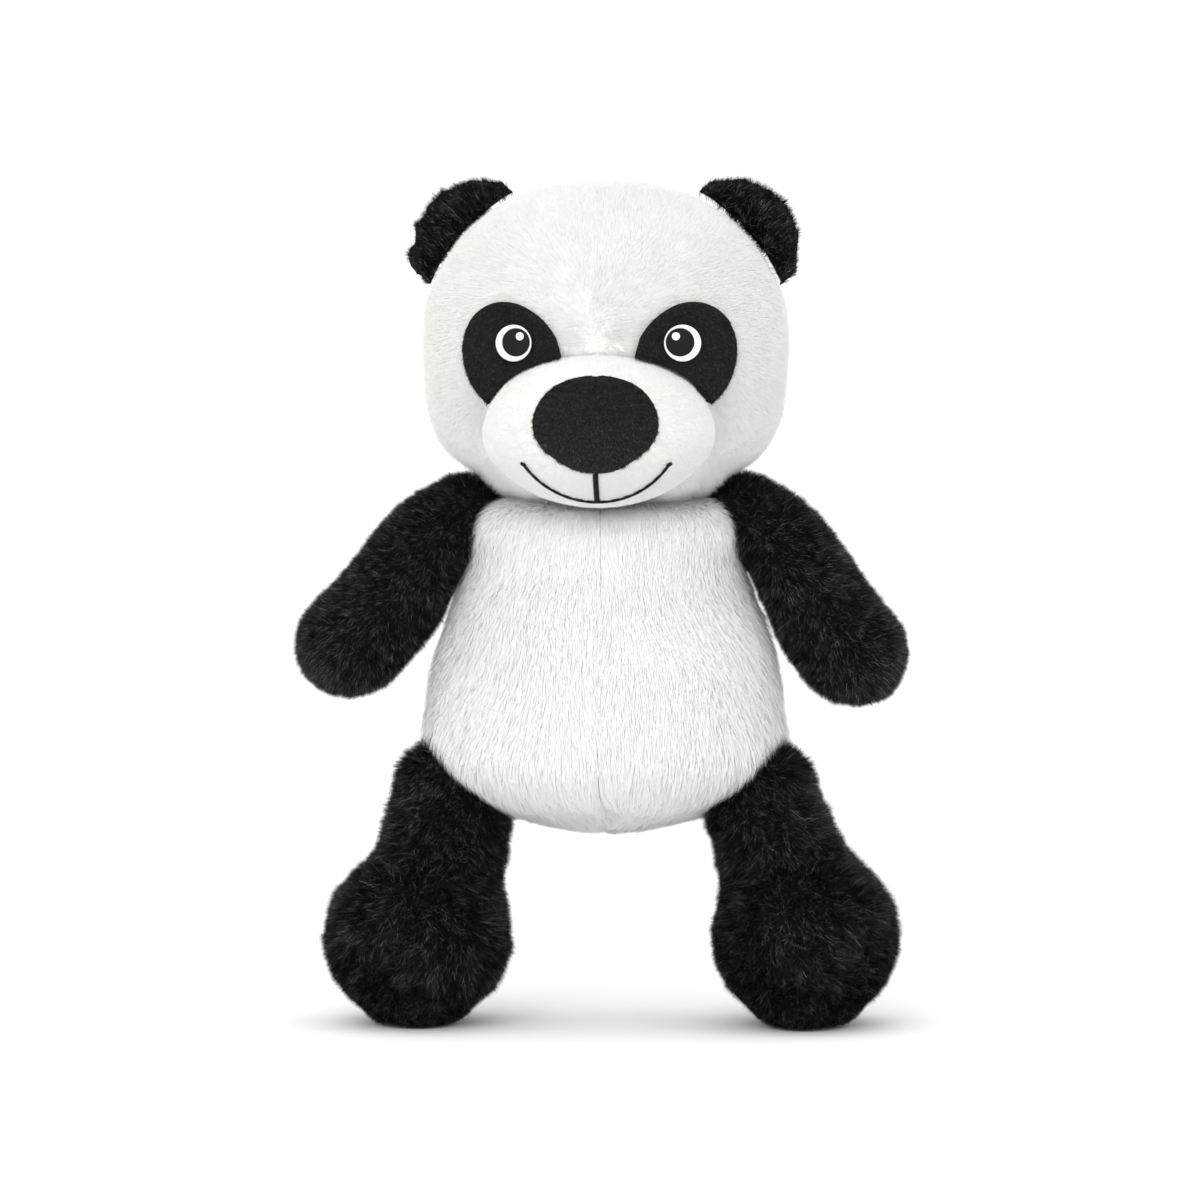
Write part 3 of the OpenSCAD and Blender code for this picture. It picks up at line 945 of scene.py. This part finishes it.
def build_philtrum(surface, low, high):
    """The line from the nose to the smile: a ladder of short, slightly tilted satin stitches."""
    rows, half, tilt = 13, 1.0 * MM, 0.35 * MM
    heights = np.linspace(low + 0.3 * MM, high + 0.4 * MM, rows)
    left = drape(surface, np.full(rows, MIDDLE_X - half), heights - tilt, 1.15 * MM)
    right = drape(surface, np.full(rows, MIDDLE_X + half), heights + tilt, 1.15 * MM)
    stitches = [stitch(start, end, np.array([0, -1, 0]), 1.0 * MM, 1.3 * MM)
                for start, end in zip(left, right)]
    lay(thread_piece("philtrum_stitches", stitches, BLACK_THREAD), "philtrum_thread")


# ---- eyes ----

def satin_disc(name, tree, middle, inner, outer, ridges, swell, lift, material, radial=True):
    """Satin stitches laid on a surface: round a ring if radial, otherwise straight across. inner is a
    radius, or a function of angles."""
    around = ridges * 4
    across = 10
    angles = np.arange(around) * 2 * math.pi / around
    inner_r = inner(angles) if callable(inner) else np.full(around, inner)
    rows = []
    for i in range(across + 1):
        share = i / across
        radius = inner_r + (outer - inner_r) * share
        xs = middle[0] + radius * np.cos(angles)
        zs = middle[2] + radius * np.sin(angles)
        base = drape(tree, xs, zs, 0)
        if radial:
            rise = math.sin(math.pi * min(max(share, 0.02), 0.98)) ** 0.55
            ridge = 0.5 + 0.5 * np.cos(angles * ridges)
        else:
            rise = math.cos(math.pi / 2 * min(share, 0.98)) ** 0.4
            ridge = 0.5 + 0.5 * np.cos((zs - middle[2] + 0.25 * (xs - middle[0])) / (0.42 * MM) * 2 * math.pi)
        base[:, 1] -= lift + swell * rise * (0.88 + 0.12 * ridge)
        rows.append(base)
    mesh = smooth_mesh(name, np.concatenate(rows), ring_faces(across + 1, around), material)
    face_forwards(mesh)
    return new_object(name, mesh)


def disc_of(node):
    """The middle and the radius of a round node seen from the front."""
    low, high = node_box(node)
    return (low + high) / 2, (high[0] - low[0]) / 2


def build_eyes():
    """The short-pile patches with their embroidered rings, pupils and highlights."""
    for side, sign in SIDES:
        surface = cad_tree(side + "_eye_patch")
        outer, _, _ = patch(side + "_eye_patch_fabric", side + "_eye_patch", surface, -1.1 * MM, BLACK_KNIT)
        ring_middle, ring_r = disc_of(side + "_eye_ring")
        pupil_middle, pupil_r = disc_of(side + "_pupil")
        glint_middle, glint_r = disc_of(side + "_eye_glint")
        ring_r *= 0.95
        pupil_r *= 1.02
        pupil_middle[0] = ring_middle[0] - sign * 0.85 * MM
        pupil_middle[2] = ring_middle[2] + 0.25 * MM
        glint_middle[0] = pupil_middle[0] - sign * 1.4 * MM
        glint_middle[2] = pupil_middle[2] + 2.1 * MM

        def inner_edge(angles, middle=ring_middle, pupil=pupil_middle, radius=pupil_r):
            """The pupil's edge, measured from the middle of the ring."""
            offset = pupil - middle
            direction = np.stack([np.cos(angles), np.sin(angles)], axis=1)
            along = direction @ np.array([offset[0], offset[2]])
            away = offset[0] ** 2 + offset[2] ** 2
            return along + np.sqrt(np.maximum(along ** 2 + radius ** 2 - away, 0)) + 0.1 * MM

        def keep(roots, normals, middle=ring_middle, radius=ring_r):
            return np.hypot(roots[:, 0] - middle[0], roots[:, 2] - middle[2]) > radius - 0.4 * MM

        def flow(points, normals, sign=sign):
            return np.tile([sign * 0.5, 0.0, -1.0], (len(points), 1))

        nap = pile(side + "_eye_patch_pile", outer, SHORT_BLACK, 300 + sign, comb=flow, keep=keep,
                   **EYE_PATCH_COAT)
        grow(nap, "head")
        ring = satin_disc(side + "_eye_ring_stitches", surface, ring_middle, inner_edge, ring_r, 66, 0.9 * MM,
                          0.0, WHITE_THREAD)
        pupil = satin_disc(side + "_pupil_stitches", surface, pupil_middle, 0.0, pupil_r, 60, 0.7 * MM, 0.0,
                           BLACK_THREAD, radial=False)
        glint = satin_disc(side + "_glint_stitches", surface, glint_middle, 0.0, glint_r, 40, 0.45 * MM,
                           0.6 * MM, WHITE_THREAD, radial=False)
        lay(ring, side + "_eye_ring")
        lay(pupil, side + "_pupil")
        lay(glint, side + "_eye_glint")


# ---- ears ----

EAR_HALF_LENGTH = 22 * MM


def build_ears():
    """Two-faced ears of black plush."""
    for side, sign in SIDES:
        nodes = (side + "_ear_front_panel", side + "_ear_back_panel")
        away = unit(np.array([sign * 0.74, 0, 0.67]))
        tangent = np.array([-away[2], 0, away[0]])
        body = skin(side + "_ear_skin", nodes, 1.3 * MM, from_side_seam, pinch=0, swell=0.8 * MM,
                    lumps=0.2 * MM, voxel=1.8 * MM)
        points = points_of(body.data)
        middle = points.mean(axis=0)
        outwards = (points - middle) @ away
        along = (points - middle) @ tangent
        bulge = outwards * 0.45 + (along / EAR_HALF_LENGTH) ** 2 * 2.2 * MM - 4.5 * MM
        move_points(body.data, points + away * bulge[:, None] + tangent * along[:, None] * 0.16)
        ends = [(tuple(middle + tangent * way * EAR_HALF_LENGTH), tuple(tangent * way)) for way in (-1, 1)]

        def flow(points, normals, away=away):
            return np.tile(away, (len(points), 1))

        for face, node, seed in ((-1, nodes[0], 400), (1, nodes[1], 420)):
            furred_panel(node, body, [((0, SEAM_Y, 0), (0, -face, 0))] + ends, BLACK_KNIT, "black_plush",
                         BLACK_AND_SHEEN_PILE, EAR_COAT, seed + sign, thickness=0.8 * MM, fill=0.3, comb=flow)
        bpy.data.objects.remove(body)


# ---- neck and torso ----

def build_neck():
    """The stuffed neck that the head turns on."""
    bm = bmesh.new()
    bmesh.ops.create_uvsphere(bm, u_segments=48, v_segments=24, radius=NECK_RADIUS - 0.4 * MM)
    mesh = bpy.data.meshes.new("neck")
    bm.to_mesh(mesh)
    bm.free()
    mesh.transform(Matrix.Translation(Vector(NECK_CENTRE)))
    mesh.materials.append(FILLING)
    mesh.shade_smooth()
    outer = mesh.copy()
    sew(new_object("neck_filling", mesh), "neck_stuffing")

    def keep(roots, normals):
        return np.abs(normals[:, 2] + 0.1) < 0.45

    fur = pile("neck_pile", outer, WHITE_PILE, 450, keep=keep, **NECK_COAT)
    grow(fur, "neck")


def clear_of_limbs(points):
    """True for points outside the round ends of the arms and the legs."""
    kept = np.ones(len(points), bool)
    for side, _ in SIDES:
        for joint, radius in (("_arm_swing", 11.0 * MM), ("_leg_swing", 18.5 * MM)):
            kept &= np.linalg.norm(points - joint_at(side + joint), axis=1) > radius
    return kept


def build_torso():
    """The torso's four panels, their undercoat and long pile, and the filling."""
    panels = ("torso_front_left_panel", "torso_front_right_panel", "torso_back_left_panel",
              "torso_back_right_panel")
    low, high = node_box(*panels)

    def near_neck(points):
        return smoothstep(high[2] - 18 * MM, high[2] - 4 * MM, points[:, 2])

    def inset(points, normals):
        low_side = smoothstep(112 * MM, 94 * MM, points[:, 2]) * smoothstep(0.95, 0.6, -normals[:, 2])
        return (2.8 - 6.6 * near_neck(points) - 5.0 * low_side) * MM

    body = skin("torso_skin", panels + ("torso_stuffing",), inset, side_and_middle_seams, pinch=0.4 * MM,
                lumps=0.9 * MM, whole=True)

    def keep(roots, normals):
        return clear_of_neck(roots) & clear_of_limbs(roots)

    def shorten(roots):
        under = smoothstep(low[2] + 2 * MM, low[2] + 22 * MM, roots[:, 2])
        length = seam_cut(side_and_middle_seams(roots)) * (0.62 + 0.38 * under)
        return length * (1 - 0.25 * near_neck(roots))

    for seed, node in enumerate(panels):
        face = -1 if "front" in node else 1
        sign = 1 if "left" in node else -1
        fabric, outer = panel(node + "_fabric", body, [side_cut(face), middle_cut(sign)], WHITE_KNIT)
        sew(fabric, node)
        # The torso's pile is the lit copy of the white pile: painted light on the shade of its long strands.
        for layer, coat, start in (("_undercoat", TORSO_UNDERCOAT, 500), ("_pile", TORSO_COAT, 510)):
            fur = pile(node + layer, outer, LIT_WHITE_PILE, start + 20 * seed, comb=torso_flow, keep=keep,
                       shorten=shorten, **coat)
            grow(fur, "torso")
    stuffing("torso_stuffing", body)


# ---- limbs ----

SHOULDER_LIFT = 3.5 * MM
FOOT_SHIFT = 2.4 * MM


def build_arms():
    """The arms' panels, pile and filling."""
    for side, sign in SIDES:
        nodes = (side + "_arm_front_panel", side + "_arm_back_panel")
        root = joint_at(side + "_arm_swing")
        low, high = node_box(*nodes)
        paw = np.array([high[0] - 0.02 if sign > 0 else low[0] + 0.02, root[1], low[2] + 0.02])

        def inset(points, normals, root=root, sign=sign):
            near = smoothstep(50 * MM, 18 * MM, np.linalg.norm(points - root, axis=1))
            inwards = smoothstep(0.3, 0.8, -sign * normals[:, 0])
            return (2.6 - 4.8 * near - 1.0 * inwards * (1 - near)) * MM

        body = skin(side + "_arm_skin", nodes + (side + "_arm_stuffing",), inset, from_side_seam,
                    pinch=0.5 * MM, swell=1.2 * MM, lumps=0.5 * MM, voxel=2.5 * MM)
        points = points_of(body.data)
        near = smoothstep(64 * MM, 16 * MM, np.linalg.norm(points - root, axis=1))
        move_points(body.data, points + UP * near[:, None] * SHOULDER_LIFT)
        for face, node in ((-1, nodes[0]), (1, nodes[1])):
            furred_panel(node, body, [side_cut(face)], BLACK_KNIT, "black_plush", BLACK_AND_SHEEN_PILE, ARM_COAT,
                         600 + face + 4 * sign, comb=spread_from(root, paw))
        stuffing(side + "_arm_stuffing", body)


def near_floor(roots):
    """A leg's pile is shorter where the toy stands on it."""
    return 0.45 + 0.55 * smoothstep(3 * MM, 16 * MM, roots[:, 2])


def build_legs():
    """The legs' panels, pile and filling."""
    for side, sign in SIDES:
        nodes = (side + "_leg_inner_panel", side + "_leg_outer_panel")
        hip = joint_at(side + "_leg_swing")
        foot = np.array([MIDDLE_X + sign * 69 * MM, SEAM_Y - 10 * MM, 29 * MM])
        line = unit((foot - hip) * np.array([1, 0, 1]))
        outward = np.array([sign * -line[2], 0, sign * line[0]])
        seams = from_plane(hip, outward)

        def inset(points, normals, sign=sign):
            at_foot = smoothstep(50 * MM, 34 * MM, points[:, 2])
            under_belly = smoothstep(70 * MM, 88 * MM, points[:, 2])
            under_belly = under_belly * smoothstep(0, 0.6, -sign * normals[:, 0] * 0.7 - normals[:, 1] * 0.7)
            sole_edge = smoothstep(34 * MM, 2 * MM, points[:, 2]) * smoothstep(1, 0.6, -normals[:, 2])
            return (1.2 + 0.4 * at_foot + 3.5 * under_belly + 3.0 * sole_edge) * MM

        body = skin(side + "_leg_skin", nodes + (side + "_leg_stuffing",), inset, seams, pinch=0.6 * MM,
                    swell=1.5 * MM, lumps=0.6 * MM, voxel=3 * MM)
        points = points_of(body.data)
        points[:, 0] += FOOT_SHIFT * smoothstep(95 * MM, 55 * MM, points[:, 2])
        move_points(body.data, points)

        def flow(points, normals, line=line, foot=foot):
            near = smoothstep(55 * MM, 30 * MM, points[:, 2])[:, None]
            spread = (points - foot) * np.array([0.8, 1, 0.3])
            return line * (1 - near * 0.6) + unit(spread) * near + np.array([0, -0.15, 0])

        for way, node in ((-1, nodes[0]), (1, nodes[1])):
            plane = (tuple(hip + outward * way * HALF_GAP), tuple(-outward * way))
            furred_panel(node, body, [plane], BLACK_KNIT, "black_plush", BLACK_AND_SHEEN_PILE, LEG_COAT,
                         700 + way + 4 * sign, comb=flow, shorten=near_floor)
        stuffing(side + "_leg_stuffing", body)


def build_stitches():
    """The ladder stitches that close the back, drawn tight into the seam, and the limbs' ties."""
    low, high = node_box("back_closing_stitches")
    depth = high[1] - 4.4 * MM
    half = 2.2 * MM
    tilt = 0.4 * MM
    stitches = []
    for height in np.linspace(low[2], high[2], 7):
        start = np.array([MIDDLE_X - half, depth, height - tilt])
        end = np.array([MIDDLE_X + half, depth, height + tilt])
        stitches.append(stitch(start, end, np.array([0, 1, 0]), 0.6 * MM, 0.8 * MM))
    lay(thread_piece("back_stitches", stitches, GREY_THREAD), "back_closing_stitches")
    for side, _ in SIDES:
        for limb in ("arm", "leg"):
            knot = frame["nodes"][f"{side}_{limb}_knot"]
            knot.data.materials.clear()
            knot.data.materials.append(GREY_THREAD)


# ---- stage ----

def build_floor():
    """A wide pale floor."""
    reach = 6.0
    corners = [(-reach, -reach, 0), (reach, -reach, 0), (reach, reach, 0), (-reach, reach, 0)]
    mesh = bpy.data.meshes.new("floor")
    mesh.from_pydata(corners, [], [(0, 1, 2, 3)])
    material, tree, principled = shader("floor")
    noise = set_inputs(tree.nodes.new("ShaderNodeTexNoise"), {"Scale": 3})
    ramp = tree.nodes.new("ShaderNodeValToRGB")
    ramp.color_ramp.elements[0].color = (0.93, 0.93, 0.93, 1)
    ramp.color_ramp.elements[1].color = (0.95, 0.95, 0.95, 1)
    tree.links.new(noise.outputs["Fac"], ramp.inputs["Fac"])
    tree.links.new(ramp.outputs["Color"], principled.inputs["Base Color"])
    set_inputs(principled, {"Roughness": 1.0, "Specular IOR Level": 0.0})
    mesh.materials.append(material)
    new_object("floor", mesh)


def multiply_add(tree, value, factor, base):
    """The product of two values plus a third. Each is a number or another node's output."""
    node = tree.nodes.new("ShaderNodeMath")
    node.operation = "MULTIPLY_ADD"
    for socket, given in zip(node.inputs, (value, factor, base)):
        if isinstance(given, bpy.types.NodeSocket):
            tree.links.new(given, socket)
        else:
            socket.default_value = given
    return node.outputs["Value"]


def build_light():
    """A white surround, brighter in front and dimmer at the sides, and one soft lamp high on the left."""
    world = bpy.data.worlds.new("studio")
    bpy.context.scene.world = world
    world.use_nodes = True
    tree = world.node_tree
    background = tree.nodes["Background"]
    background.inputs["Color"].default_value = (1, 1, 1, 1)
    place = tree.nodes.new("ShaderNodeTexCoord")
    split = tree.nodes.new("ShaderNodeSeparateXYZ")
    tree.links.new(place.outputs["Generated"], split.inputs["Vector"])
    x, y = split.outputs["X"], split.outputs["Y"]
    front = multiply_add(tree, y, -0.2, 1.31)
    strength = multiply_add(tree, multiply_add(tree, x, x, 0), -0.22, front)
    tree.links.new(strength, background.inputs["Strength"])

    light = bpy.data.lights.new("key", "AREA")
    light.size = 0.9
    light.energy = 8.5
    lamp = bpy.data.objects.new("key", light)
    lamp.location = Vector((-0.3, -1.6, 0.9))
    to_toy = Vector((MIDDLE_X, SEAM_Y, 0.16)) - lamp.location
    lamp.rotation_euler = to_toy.to_track_quat("-Z", "Y").to_euler()
    bpy.context.scene.collection.objects.link(lamp)


def build_camera():
    """A camera that looks at the toy from the front, a little from its left and from above."""
    shown_width = 0.4284
    distance = 2.0
    turn = math.radians(2.8)
    rise = math.radians(2.5)
    aim = Vector((MIDDLE_X - 2 * MM, SEAM_Y, 150.7 * MM))
    camera = bpy.data.cameras.new("camera")
    camera.lens = camera.sensor_width * distance / shown_width
    eye = bpy.data.objects.new("camera", camera)
    eye.location = aim + distance * Vector((math.sin(turn) * math.cos(rise), -math.cos(turn) * math.cos(rise),
                                            math.sin(rise)))
    eye.rotation_euler = (aim - eye.location).to_track_quat("-Z", "Y").to_euler()
    bpy.context.scene.collection.objects.link(eye)
    bpy.context.scene.camera = eye
    bpy.context.scene.view_settings.view_transform = "Standard"


build_head()
build_muzzle()
build_eyes()
build_ears()
build_neck()
build_torso()
build_arms()
build_legs()
build_stitches()
build_floor()
build_light()
build_camera()
